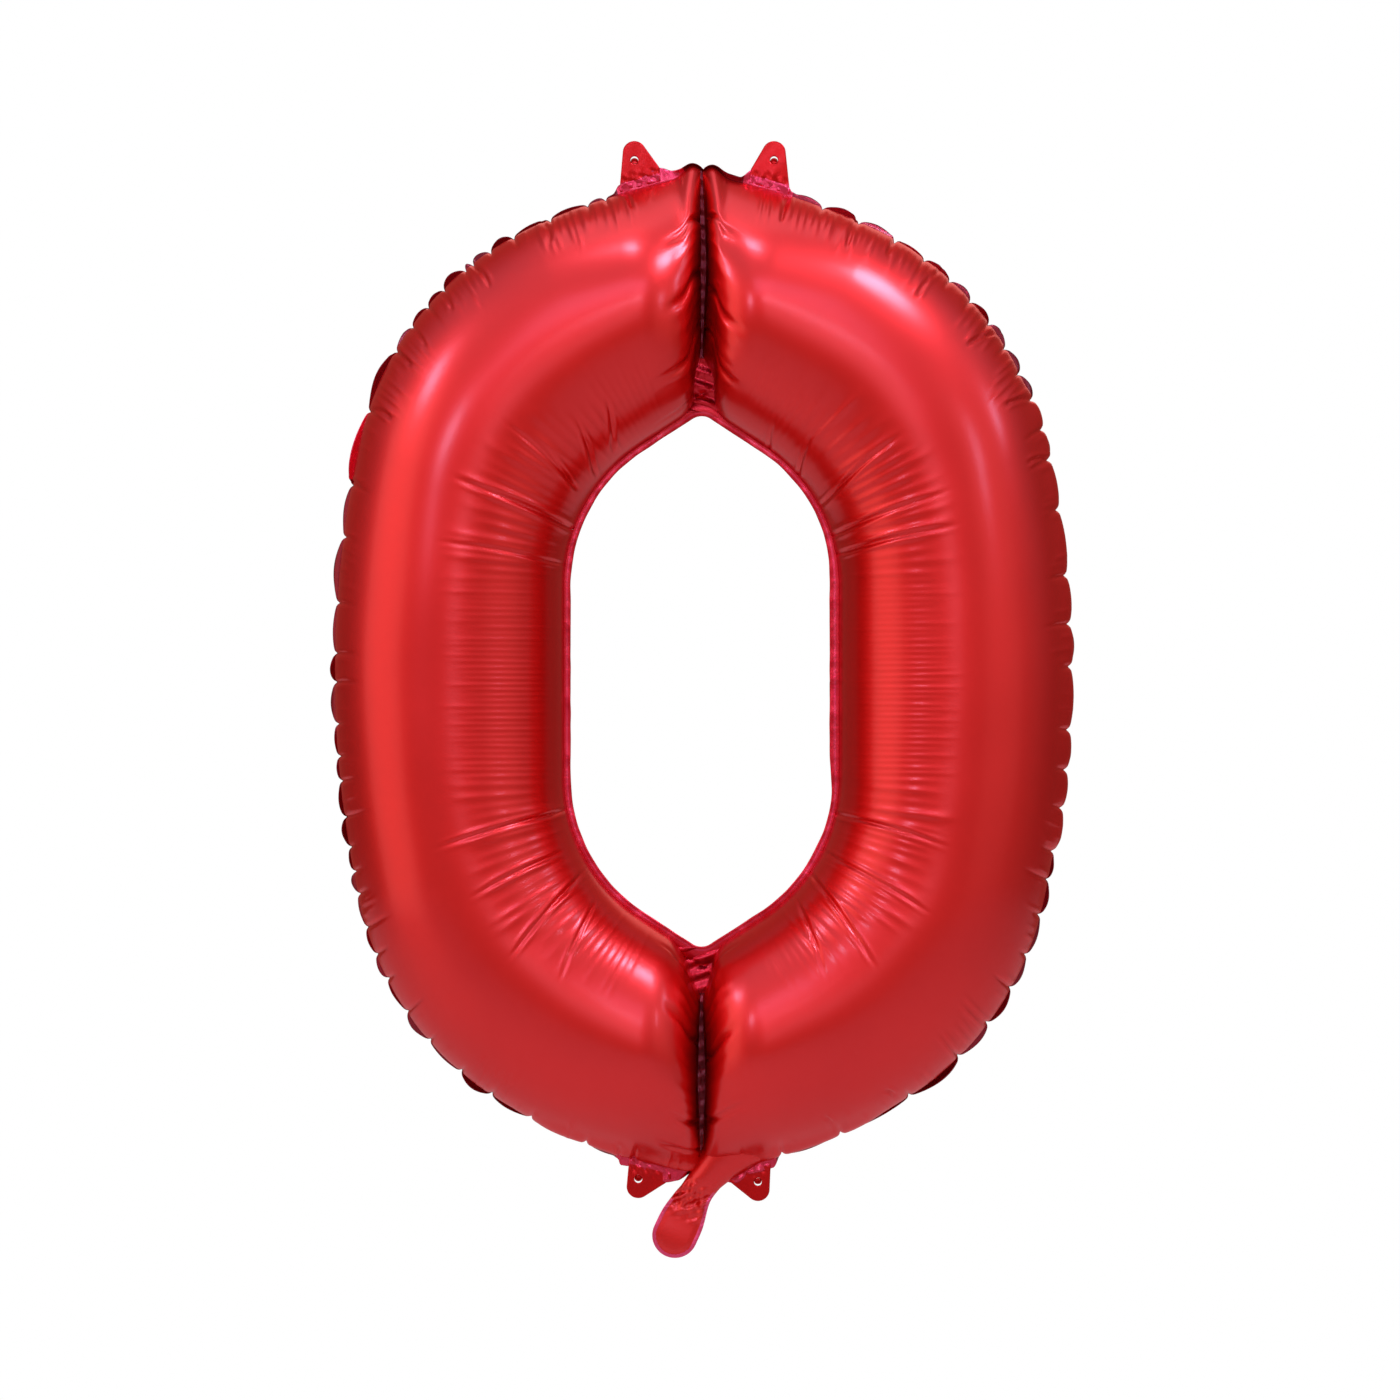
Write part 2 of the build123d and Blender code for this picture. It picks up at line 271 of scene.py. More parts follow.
# Short creases in from the rim: x, z at the rim, x, z inside, depth, half width.
RIM_CREASES = {
    -1: (
        (-62, 391, -54, 377, 1.5, 1.3),
        (-123, 368, -115, 349, 1.7, 1.5),
        (-176, 333, -162, 316, 1.8, 1.5),
        (-201, 311, -190, 298, 1.7, 1.5),
        (-225, 283, -210, 270, 1.7, 1.5),
        (-238, 266, -222, 255, 1.8, 1.5),
        (-254, 222, -238, 215, 1.7, 1.5),
        (-272, 167, -262, 164, 1.2, 1.3),
        (-66, -339, -62, -350, 1.2, 1.3),
    ),
    1: (
        (71, 393, 61, 366, 2.0, 1.5),
        (121, 372, 111, 346, 2.0, 1.5),
        (153, 357, 142, 341, 1.7, 1.4),
        (184, 330, 165, 309, 2.0, 1.5),
        (228, 280, 204, 271, 1.9, 1.5),
        (253, 230, 233, 225, 1.8, 1.5),
        (266, 184, 250, 181, 1.7, 1.4),
        (148, -305, 141, -297, 1.4, 1.4),
        (101, -330, 95, -318, 1.2, 1.3),
    ),
}
# Heights where the outer seam is pinched in, from the top down.
PINCHES = {
    -1: (
        *(384.5, 380, 368, 354.5, 344, 334.5, 330, 315, 301, 286, 267, 222, 165),
        *(125, 74, 36, 13, -19, -43, -62, -90, -114, -132, -150, -175, -196, -215, -240),
        *(-262, -285, -303, -320, -338, -350),
    ),
    1: (
        *(388, 378, 366, 352, 338, 322, 306, 288, 270, 250, 229, 207, 184, 146, 95, 58, 26),
        *(-24, -54, -83, -116, -138, -165, -196, -222, -249, -274, -304, -331, -347, -355),
    ),
}
# Where the outer margin shows its full width, beside the tabs: x from, x to, up, and the x of
# the web of foil between the tab and the chamber.
WIDE_MARGIN = (
    (-68, -10, 1, -31),
    (28, 72, 1, 37),
    (-66, -8, -1, -25),
    (10, 60, -1, 23),
)
LIT_MARGIN_HEIGHTS = {-1: (168, 221), 1: (196, 225)}  # heights where it faces the light: painted sheen in the bright seal foil
# Clusters of fine ridges at the rim: height of the middle, half extent along the rim, count.
RIM_CLUSTERS = {
    -1: ((385, 24, 8), (371, 20, 7), (322, 15, 6), (276, 13, 5), (240, 12, 4), (-300, 20, 5)),
    1: ((384, 32, 11), (364, 18, 7), (341, 20, 6), (292, 18, 5), (250, 16, 5), (-262, 24, 6)),
}
# Beside the slit: heights of the cross creases, upper end then lower end.
SLIT_CREASES = {
    -1: ((367, 327, 290, 268), (-233, -262, -322, -345)),
    1: ((368, 315, 285, 266), (-232, -275, -320)),
}
# Fine cross ridges beside the slit: from, to, how far out, count.
SLIT_RIDGES = {
    -1: ((330, 365, 20, 4), (272, 322, 22, 6), (-316, -236, 26, 10)),
    1: ((284, 322, 30, 5), (324, 364, 26, 4), (-300, -228, 26, 9)),
}


def segment_field(x, z, creases):
    """Displacement of creases given by their end points."""
    field = np.zeros_like(x)
    for x0, z0, x1, z1, depth, width in creases:
        length = math.hypot(x1 - x0, z1 - z0)
        ux, uz = (x1 - x0) / length, (z1 - z0) / length
        along = ((x - x0) * ux + (z - z0) * uz) / length
        bow = math.copysign(1.6, x0) * np.sin(np.clip(along, 0, 1) * math.pi)
        off = (x - x0) * -uz + (z - z0) * ux + bow
        width = 0.66 * width
        depth = 1.25 * depth
        fade = step(-0.12, 0.55, along) * (1 - step(0.96, 1.16, along))
        valley = np.exp(-np.abs(off) / width)
        ridge = bump(np.abs(off), 3.0 * width, 1.5 * width)
        field += depth * fade * (0.35 * ridge - valley)
    return field


def ridges(along, angle, items):
    """Fine ridges across a chamber: place, lean, start and end angle, half width, height."""
    field = np.zeros(np.broadcast_shapes(along.shape, angle.shape))
    for place, lean, low, high, width, height in items:
        off = along - place - lean * (angle - (low + high) / 2)
        shape = np.exp(-np.abs(off / width) ** 1.6)
        soft = 0.3 * (high - low)
        fade = step(low, low + 1.6 * soft, angle) * (1 - step(high - soft, high, angle))
        field += height * shape * fade
    return field


def flank_share(side, outer):
    """1 where the film hides its seal margin: the right flank and the bottom, else 0."""
    height = outer[:, 1]
    low = 1 - step(-330, -312, height)
    if side < 0:
        return low
    return np.maximum(low, step(-125, -105, height) * (1 - step(222, 245, height)))


def film_swell(side, outer):
    """How far the film stands out past the seam: everywhere, and between pinches."""
    share = flank_share(side, outer)
    bottom = 1 - step(-330, -312, outer[:, 1])
    steady = 0.5 + share * (2.1 + 1.4 * bottom)
    rising = 0.45 + share * (2.2 - 2.1 * bottom)
    return steady, rising


def seam_place(outer, s_out, heights):
    """Distance along the outer seam of each height."""
    order = np.argsort(outer[:, 1])
    return [float(np.interp(h, outer[order, 1], s_out[order])) for h in heights]


def pinch_profile(s, places, width):
    """1 at a pinch, falling to 0 between pinches."""
    gap = np.min(np.abs(s[:, None] - np.asarray(places)[None, :]), axis=1)
    return np.exp(-gap / width)


def between(s, places):
    """Rounded rise from 0 at each pinch to 1 midway to the next; short spans rise less."""
    places = np.sort(np.asarray(places))
    k = np.clip(np.searchsorted(places, s) - 1, 0, len(places) - 2)
    span = places[k + 1] - places[k]
    share = (s - places[k]) / span
    inside = (share > 0) & (share < 1)
    rise = np.sin(math.pi * np.clip(share, 0, 1)) ** 0.6 * np.minimum(1, 0.35 + span / 45)
    return np.where(inside, rise, 0.35)


def add_hole_ridges(field, rng, x, z, a_in, is_front):
    """Fine ridges that fan out from the hole, first on the front and then on the back."""
    beside = np.abs(z - HOLE_Z) - HOLE_STRAIGHT
    turn = np.arctan2(np.maximum(beside, 0), np.abs(x) + HOLE_RADIUS - HOLE_X)
    s_hole = HOLE_STRAIGHT + np.minimum(beside, 0) + (HOLE_RADIUS + HOLE_MARGIN) * turn
    s_hole *= np.sign(z - HOLE_Z)
    first, last = -218.0, 222.0  # along the hole's edge, from its lower to its upper corner
    for on_face in (is_front, 1 - is_front):
        items, place = [], first
        while place < last:
            bend = step(58, 96, abs(place)) * (1 - step(185, 205, abs(place)))
            pitch = rng.uniform(4.0, 4.8) * (1 - bend) + rng.uniform(4.6, 7.2) * bend
            place += pitch
            height = (0.30 + 0.55 * bend) * rng.uniform(0.7 - 0.35 * bend, 1.2)
            high = rng.uniform(84, 99) - 22 * step(115, 200, abs(place))
            low = rng.uniform(8, 30)
            items.append((place, rng.normal(0, 0.012), low, high, pitch * 0.36, height))
        field += ridges(s_hole, a_in, items) * on_face


def add_rim(field, rng, side, outer, s_out, turned):
    """Pinched rim: hollows at the pinches, pillows between them, clusters of ridges."""
    at = s_out[:, None]
    places = seam_place(outer, s_out, PINCHES[side])
    places = np.array([s_out[np.argmin(np.abs(s_out - place))] for place in places])
    extent = np.array([rng.uniform(22, 38) for _ in places])
    pinch = pinch_profile(s_out, places, 1.7)[:, None]
    pillow = between(s_out, places)
    steady, rising = film_swell(side, outer)
    hollow = (0.8 + 0.7 * flank_share(side, outer))[:, None] * pinch
    field += (steady + rising * pillow)[:, None] * bump(turned, 6, 11.0)
    field += 0.35 * pillow[:, None] * bump(turned, 0, 24.0)
    field -= hollow * bump(turned, 0, 10.0)
    items = []
    for place, reach in zip(places, extent):
        for _ in range(2):
            lean, far = rng.normal(0, 0.02), reach * rng.uniform(0.9, 1.3)
            items.append((place, lean, -20, far, 1.2, -1.5))
    field += 0.6 * ridges(at, turned, items)
    clusters = []
    for height, reach, count in RIM_CLUSTERS[side]:
        middle = seam_place(outer, s_out, (height,))[0]
        for k in range(count):
            place = middle + reach * (2 * (k + 0.5) / count - 1) + rng.normal(0, 0.5)
            lean, far = rng.normal(0, 0.03), rng.uniform(40, 54)
            clusters.append((place, lean, 4, far, 1.6, rng.uniform(0.7, 1.15)))
    for _ in range(70):
        place, lean = rng.uniform(-520, 520), rng.normal(0, 0.06)
        far = rng.uniform(22, 38)
        clusters.append((place, lean, 2, far, 1.6, rng.uniform(0.25, 0.6)))
    field += ridges(at, turned, clusters)


def add_waves(field, rng, x, z, turned):
    """Slow unevenness of a film that isn't perfectly round."""
    waves = np.zeros_like(field)
    for _ in range(16):
        kx, kz = rng.normal(0, 1 / 34.0, 2)
        waves += np.sin(kx * x + kz * z + rng.uniform(0, 6.28)) * rng.uniform(0.3, 1.0)
    field += 0.11 * waves * np.sin(np.radians(turned))


def add_slit(field, rng, side, x, turned, centre, half, front):
    """Creased pillows beside the slit between the chambers, on the rows that leave it."""
    end_x = np.abs(x)
    face = step(14, 40, turned) * (1 - step(146, 170, turned))
    nowhere = np.full(BACK_ROWS, -50)  # the back has none
    rows = np.concatenate((np.arange(FRONT_ROWS), nowhere))[None, :]
    columns = np.arange(len(centre))[:, None]
    middle = len(centre) / 2
    ends = zip((0, -1), SLIT_CREASES[side], (columns < middle, columns >= middle))
    for k, creases, half_way in ends:

        def row_of(height, k=k):
            """Front row that leaves the slit at a height."""
            lift = math.degrees(math.acos((height - centre[k, 1]) / half[k, 1]))
            return round(float(np.interp(lift, front, range(FRONT_ROWS))))

        crossed = sorted(row_of(height) for height in creases)
        for low, high in zip(crossed[:-1], crossed[1:]):
            share = np.clip((rows - low) / (high - low), 0, 1)
            puff = np.sin(math.pi * share) ** 0.6
            field += 1.4 * puff * (1 - step(8, 32, end_x)) * face * half_way
        for row in crossed:
            reach = rng.uniform(28, 42)
            off = np.abs(rows - row)
            fade = (1 - step(0.4 * reach, reach, end_x)) * face * half_way
            field += fade * (0.5 * bump(off, 2, 0.9) - 2.0 * np.exp(-off / 0.6))
        for low, high, reach, count in SLIT_RIDGES[side]:
            if (low > 0) != (k == 0):
                continue
            for j in range(count):
                row = row_of(low + (high - low) * (j + rng.uniform(0.3, 0.7)) / count)
                length = reach * rng.uniform(0.75, 1.1)
                fade = (1 - step(0.6 * length, length, end_x)) * face * half_way
                field += rng.uniform(0.4, 0.8) * bump(rows, row, 0.9) * fade


def row_angles(count):
    """Angles in degrees from 0 to 180, a little closer together at both ends."""
    share = np.linspace(0, 1, count)
    return np.degrees(np.pi * (0.7 * share + 0.3 * (1 - np.cos(np.pi * share)) / 2))


def lobe_surface(side):
    """Chamber's grid of points (columns, rows around), its seams, distances along the outer."""
    rng = np.random.default_rng(CHAMBER_SEEDS[side])
    inner, outer, s_out = lobe_seams(side)
    centre, half = (inner + outer) / 2, (outer - inner) / 2
    middle_x = np.abs((inner + outer)[:, 0] / 2)
    u = np.clip((middle_x - END_X) / 50, 0, 1)
    half_depth = DEPTH * (0.27 + 0.73 * np.sqrt(np.clip(1 - (1 - u) ** 2.2, 0, 1)))
    corner = (1 - np.clip((middle_x - END_X) / 95, 0, 1)) ** 1.2  # 1 at the slit
    front = row_angles(FRONT_ROWS)
    back = 180 + row_angles(BACK_ROWS + 2)[1:-1]
    angle = np.concatenate((front, back))[None, :]  # 0 at the outer seam, 180 at the inner one
    cos, sin = np.cos(np.radians(angle)), np.sin(np.radians(angle))
    grid = np.empty((len(inner), angle.shape[1], 3))
    grid[..., 0] = centre[:, None, 0] + half[:, None, 0] * cos
    power = np.where(cos > 0, 1 + 0.9 * corner[:, None], 1.0)  # wedge at the outer corner
    grid[..., 1] = -half_depth[:, None] * np.sign(sin) * np.abs(sin) ** power
    grid[..., 2] = centre[:, None, 1] + half[:, None, 1] * cos

    top_gap, low_gap = SLIT_GAPS[side]
    gap = np.where(centre[:, 1] > 0, top_gap, low_gap) * np.exp(-(middle_x - END_X) / 12)
    grid[..., 0] += side * gap[:, None] * sin**2

    du = np.gradient(grid, axis=0)
    dv = (np.roll(grid, -1, axis=1) - np.roll(grid, 1, axis=1)) / 2
    normal = np.cross(du, dv)
    normal /= np.maximum(np.linalg.norm(normal, axis=2, keepdims=True), TINY)
    middle = np.stack((centre[:, 0], np.zeros(len(centre)), centre[:, 1]), axis=1)
    away = grid - middle[:, None, :]
    normal *= np.sign((normal * away).sum(axis=2, keepdims=True))

    x, z = grid[..., 0], grid[..., 2]
    turned = np.where(angle > 180, 360 - angle, angle)  # 0 outer seam to 180 inner seam
    is_front = (angle <= 180).astype(float)
    field = np.zeros(grid.shape[:2])
    creases = segment_field(x, z, LONG_CREASES[side]) + segment_field(x, z, RIM_CREASES[side])
    field += creases * np.where(is_front > 0, 1.0, 0.8)
    add_hole_ridges(field, rng, x, z, 180 - turned, is_front)
    add_rim(field, rng, side, outer, s_out, turned)
    add_waves(field, rng, x, z, turned)
    add_slit(field, rng, side, x, turned, centre, half, front)

    grid = grid + normal * field[..., None]
    grid[..., 0] = side * np.maximum(side * grid[..., 0], SLIT_HALF)
    grid[..., 1] = np.where(np.abs(sin) < 1e-6, 0.0, grid[..., 1])  # both seams stay flat
    return grid, inner, outer, s_out


# --- meshes -------------------------------------------------------------
def new_object(name, points, faces, materials, slots=None):
    """Smooth, closed mesh from points in millimetres, with a material slot for each face."""
    mesh = bpy.data.meshes.new(name)
    mesh.from_pydata([tuple(p) for p in np.asarray(points) * MM], [], faces)
    mesh.update()
    for item in materials:
        mesh.materials.append(item)
    if slots is not None:
        mesh.polygons.foreach_set("material_index", np.asarray(slots, np.int32))
    mesh.polygons.foreach_set("use_smooth", np.ones(len(mesh.polygons), bool))
    obj = bpy.data.objects.new(name, mesh)
    bpy.context.scene.collection.objects.link(obj)
    work = bmesh.new()
    work.from_mesh(mesh)
    bmesh.ops.remove_doubles(work, verts=work.verts, dist=1e-6)
    bmesh.ops.recalc_face_normals(work, faces=work.faces)
    work.to_mesh(mesh)
    work.free()
    return obj


def grid_faces(columns, rows, wrap_columns=False, wrap_rows=True, offset=0):
    """Quads between the points of a grid that runs column by column."""
    faces = []
    for i in range(columns if wrap_columns else columns - 1):
        here, beyond = offset + i * rows, offset + (i + 1) % columns * rows
        for k in range(rows if wrap_rows else rows - 1):
            k_next = (k + 1) % rows
            faces.append((here + k, here + k_next, beyond + k_next, beyond + k))
    return faces


def capped(points, faces, rows):
    """Points and faces of an open tube, with a fan of triangles added over each end."""
    points = np.asarray(points)
    count = len(points)
    for k in range(rows):
        k_next = (k + 1) % rows
        faces.append((k, count, k_next))
        faces.append((count - rows + k_next, count + 1, count - rows + k))
    middles = [points[:rows].mean(axis=0), points[-rows:].mean(axis=0)]
    return np.vstack([points, middles]), faces


# --- materials ----------------------------------------------------------
def set_inputs(made, **inputs):
    """Set a node's inputs; an underscore in a name stands for a space."""
    for key, value in inputs.items():
        made.inputs[key.replace("_", " ")].default_value = value


def node(tree, kind, **inputs):
    """New node with its inputs set."""
    made = tree.nodes.new(kind)
    set_inputs(made, **inputs)
    return made


def ramp(tree, low, low_colour, high, high_colour):
    """Colour ramp between two places."""
    made = node(tree, "ShaderNodeValToRGB")
    stops = made.color_ramp.elements
    stops[0].position, stops[0].color = low, (*low_colour, 1)
    stops[1].position, stops[1].color = high, (*high_colour, 1)
    return made


def new_material(name):
    """New material, its node tree and its shader."""
    material = bpy.data.materials.new(name)
    material.use_nodes = True
    return material, material.node_tree, material.node_tree.nodes["Principled BSDF"]


def foil_material(name, dark, light, roughness, bump, scale, coat=0.35):
    """Satin foil: metallic red under a clear layer, uneven at two scales."""
    material, tree, shader = new_material(name)
    link = tree.links.new
    place = node(tree, "ShaderNodeTexCoord")
    broad = node(tree, "ShaderNodeTexNoise", Scale=7.0, Detail=3.0, Roughness=0.5)
    fine = node(tree, "ShaderNodeTexNoise", Scale=scale, Detail=5.0, Roughness=0.6)
    grain = node(tree, "ShaderNodeTexNoise", Scale=2200.0, Detail=2.0, Roughness=0.5)
    for texture in (broad, fine, grain):
        link(place.outputs["Object"], texture.inputs["Vector"])
    tint = ramp(tree, 0.3, dark, 0.7, light)
    link(broad.outputs["Fac"], tint.inputs["Fac"])
    link(tint.outputs["Color"], shader.inputs["Base Color"])
    sheen = node(tree, "ShaderNodeMapRange", To_Min=roughness - 0.04, To_Max=roughness + 0.05)
    link(fine.outputs["Fac"], sheen.inputs["Value"])
    link(sheen.outputs["Result"], shader.inputs["Roughness"])
    low = node(tree, "ShaderNodeBump", Strength=bump, Distance=0.0012)
    high = node(tree, "ShaderNodeBump", Strength=0.05, Distance=0.0002)
    link(fine.outputs["Fac"], low.inputs["Height"])
    link(grain.outputs["Fac"], high.inputs["Height"])
    link(low.outputs["Normal"], high.inputs["Normal"])
    link(high.outputs["Normal"], shader.inputs["Normal"])
    set_inputs(shader, Metallic=0.9, Coat_Weight=coat, Coat_Roughness=0.23, Coat_IOR=1.7)
    set_inputs(shader, Specular_Tint=(1, 0.4, 0.38, 1))
    return material


def film_material():
    """Clear, slightly cloudy plastic film of the valve."""
    material, tree, shader = new_material("valve_film_clear")
    link = tree.links.new
    place = node(tree, "ShaderNodeTexCoord")
    cloud = node(tree, "ShaderNodeTexNoise", Scale=90.0, Detail=3.0, Roughness=0.5)
    link(place.outputs["Object"], cloud.inputs["Vector"])
    tint = ramp(tree, 0.0, (0.74, 0.76, 0.78), 1.0, (0.9, 0.91, 0.93))
    link(cloud.outputs["Fac"], tint.inputs["Fac"])
    link(tint.outputs["Color"], shader.inputs["Base Color"])
    ripple = node(tree, "ShaderNodeBump", Strength=0.2, Distance=0.0004)
    link(cloud.outputs["Fac"], ripple.inputs["Height"])
    link(ripple.outputs["Normal"], shader.inputs["Normal"])
    set_inputs(shader, Roughness=0.25, Alpha=0.45)
    return material


FOIL = foil_material(
    "foil_satin_red", (0.60, 0.006, 0.004), (0.665, 0.009, 0.006), 0.39, 0.05, 120.0, 0.42
)
# Pinker, brighter seal foil; on the outer margin and the tab roots it is also painted sheen, where
# the flat seal faces the light.
SEAL_AND_SHEEN = foil_material("foil_seal_and_sheen_red", (0.50, 0.008, 0.03), (0.74, 0.03, 0.09), 0.28, 0.35, 260.0)
HOLE_SEAL = foil_material(
    "foil_hole_seal_red", (0.46, 0.006, 0.012), (0.62, 0.012, 0.03), 0.34, 0.25, 260.0, 0.15
)
# Painted shade: a dark copy of the seal foil, for the outer margin where it lies in shade and for
# the weld deep in the slit.
SHADED_MARGIN_FOIL = foil_material(
    "foil_margin_painted_shade", (0.12, 0.002, 0.005), (0.24, 0.006, 0.016), 0.36, 0.3, 260.0, 0.2
)
# Painted shade: a darker copy of the chamber foil, for the flat tabs and the eyelet flaps.
SHADED_PLATE_FOIL = foil_material(
    "foil_plate_painted_shade", (0.44, 0.003, 0.003), (0.54, 0.005, 0.005), 0.36, 0.12, 320.0, 0.1
)
SEAM_LINE = foil_material("foil_seam_line", (0.60, 0.03, 0.09), (0.80, 0.08, 0.2), 0.3, 0.2, 300.0)

# --- chambers -----------------------------------------------------------
Lobe = namedtuple("Lobe", "piece grid inner outer s_out")
LOBES = {}
for side, name in ((-1, "left_chamber_foil"), (1, "right_chamber_foil")):
    grid, *seams = lobe_surface(side)
    columns, rows = grid.shape[:2]
    points, faces = capped(grid.reshape(-1, 3), grid_faces(columns, rows), rows)
    chamber = new_object(name, points, faces, [FOIL])
    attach(chamber, "balloon")
    LOBES[side] = Lobe(chamber, grid, *seams)
left, right = LOBES[-1], LOBES[1]
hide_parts("front_film", "back_film")

# --- seal margins -------------------------------------------------------
RIBBON_SHARES = np.array((0.0, 0.1, 0.34, 0.58, 0.8, 1.0))  # across it; the first is tucked in
RIBBON_HALF = 0.25  # half its thickness


def ribbon(name, seam, outwards, width, lift, materials, slots, under=0.14):
    """Thin closed strip along a loop: seam points (x, z), outward directions, y of the edge.

    The slots are given for each point of the loop, or for each face around the strip with the
    front ones first.
    """
    rows = []
    for face, shares in ((-1, RIBBON_SHARES), (1, RIBBON_SHARES[::-1])):
        for share in shares:
            reach = width * (share if share > 0 else -under)
            x, z = (seam + outwards * reach[:, None]).T
            rows.append(np.stack((x, lift * share**1.3 + face * RIBBON_HALF, z), axis=1))
    points = np.stack(rows, axis=1)
    count, around = points.shape[:2]
    faces = grid_faces(count, around, wrap_columns=True)
    slots = np.broadcast_to(slots, (count, around)).ravel()
    return new_object(name, points.reshape(-1, 3), faces, materials, slots)


def outward_normals(points):
    """Unit normals in the plane of a closed loop, away from its middle."""
    along = smooth(np.roll(points, -3, axis=0) - np.roll(points, 3, axis=0), 3)
    normal = np.stack((along[:, 1], -along[:, 0]), axis=1)
    normal /= np.maximum(np.linalg.norm(normal, axis=1, keepdims=True), TINY)
    away = points - points.mean(axis=0)
    return normal * np.sign((normal * away).sum(axis=1).mean())


rng = np.random.default_rng(MARGIN_SEED)
film_loop = np.vstack([right.grid[:, 0, [0, 2]], left.grid[::-1, 0, [0, 2]]])
base_loop = np.vstack([right.outer, left.outer[::-1]])
base_x, base_z = base_loop.T
loop_at = np.concatenate(((0,), np.cumsum(np.linalg.norm(np.diff(base_loop, axis=0), axis=1))))
total, count = loop_at[-1], len(loop_at)
pinch_at = []
for side, part in ((1, loop_at[: len(right.s_out)]), (-1, loop_at[len(right.s_out) :])):
    for place in seam_place(LOBES[side].outer, LOBES[side].s_out, PINCHES[side]):
        pinch_at.append(part[np.argmin(np.abs(LOBES[side].s_out[::side] - place))])
pinch_at.sort()

# between two pinches the margin arches out, and turns to the front or to the back
wave, arch = np.zeros(count), np.zeros(count)
for start, end in zip(pinch_at, pinch_at[1:] + [pinch_at[0] + total]):
    span = end - start
    at = np.where(loop_at < start - 1e-6, loop_at + total, loop_at)
    share = np.clip((at - start) / span, 0, 1)
    skew = share ** rng.uniform(0.7, 1.4)
    rise = np.sin(math.pi * skew) * min(1.0, 0.5 + span / 50) * rng.uniform(0.3, 1.15)
    wave += rng.uniform(2.0, 4.6) * rng.choice((-1, 1)) * rise
    arch += rise
wave = smooth(wave + rng.normal(0, 0.3, count), 2.5)
crinkle = smooth(rng.normal(0, 3.0, count), 3.0)
hidden = np.concatenate([flank_share(1, right.outer), flank_share(-1, left.outer)[::-1]])
wave = wave * (1 - hidden) + 4.2 * hidden
outer_width = (1.0 + 3.8 * arch) * (1 - 0.5 * hidden)
wide, web = np.zeros(count), np.zeros(count)
for low, high, up, middle in WIDE_MARGIN:
    this_half = np.sign(base_z) == up
    wide += step(low, low + 8, base_x) * (1 - step(high - 8, high, base_x)) * this_half
    web += 4.5 * bump(base_x, middle, 8.0) * this_half
outer_width = outer_width * (1 - wide) + (7.6 + web) * wide
outer_width *= 1 - 0.72 * np.exp(-((base_x / 17.0) ** 4)) * (base_z > 0)  # narrow at the knobs
# Painted light on the outer margin: the bright seal foil as painted sheen beside the tabs and at
# the lit heights, and the dark margin foil as painted shade everywhere else.
lit_margin = wide > 0.3
for side, (low, high) in LIT_MARGIN_HEIGHTS.items():
    lit_margin = lit_margin | (base_z > low) & (base_z < high) & (base_x * side > 0)
wave = wave * (1 - wide) + crinkle * wide
outer_seam = ribbon(
    "outer_seam_margin",
    film_loop,
    outward_normals(base_loop),
    outer_width,
    wave,
    [SHADED_MARGIN_FOIL, SEAL_AND_SHEEN],
    lit_margin[:, None],
)
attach(outer_seam, "balloon")


def hole_loop(outset):
    """Closed loop of the hole's outline with its rounded apexes, in the CAD frame."""
    quarter = hole_quarter(outset)
    normal = math.radians(HOLE_TURN)
    radius = HOLE_APEX + outset
    centre_z = quarter[-1][1] - radius / math.sin(normal)
    turn = np.linspace(normal, math.pi / 2, 12)
    arc = np.stack((radius * np.cos(turn), centre_z + radius * np.sin(turn)), axis=1)
    quarter = np.vstack([quarter[:-1], arc])
    top = [(x, HOLE_Z + z) for x, z in quarter]
    low = [(x, HOLE_Z - z) for x, z in quarter]
    top += [(-x, z) for x, z in top[::-1][1:]]
    return top + [(-x, z) for x, z in low[1:]] + low[::-1][1:-1]


loop = run_along(hole_loop(HOLE_MARGIN) + hole_loop(HOLE_MARGIN)[:1], 1.0)[0][:-1]
count = len(loop)
ripple = smooth(rng.normal(0, 1.6, count), 3.0) + smooth(rng.normal(0, 4.0, count), 12.0)
hole_width = HOLE_MARGIN - 0.7 + smooth(rng.normal(0, 0.5, count), 5.0)
beside = 1 - step(60, 110, np.abs(loop[:, 1] - HOLE_Z - 15))
hole_width += 2.2 * beside * (loop[:, 0] > 0)  # the right side shows more of it
hole_seam = ribbon(
    "hole_seam_margin",
    loop,
    -outward_normals(loop),
    hole_width,
    ripple * 0.5,
    [HOLE_SEAL, SEAL_AND_SHEEN],
    np.arange(2 * len(RIBBON_SHARES)) == 2,  # one bright line along the front
    under=0.14 + 1.4 * (1 - step(20, 36, np.abs(loop[:, 0]))),
)
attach(hole_seam, "balloon")


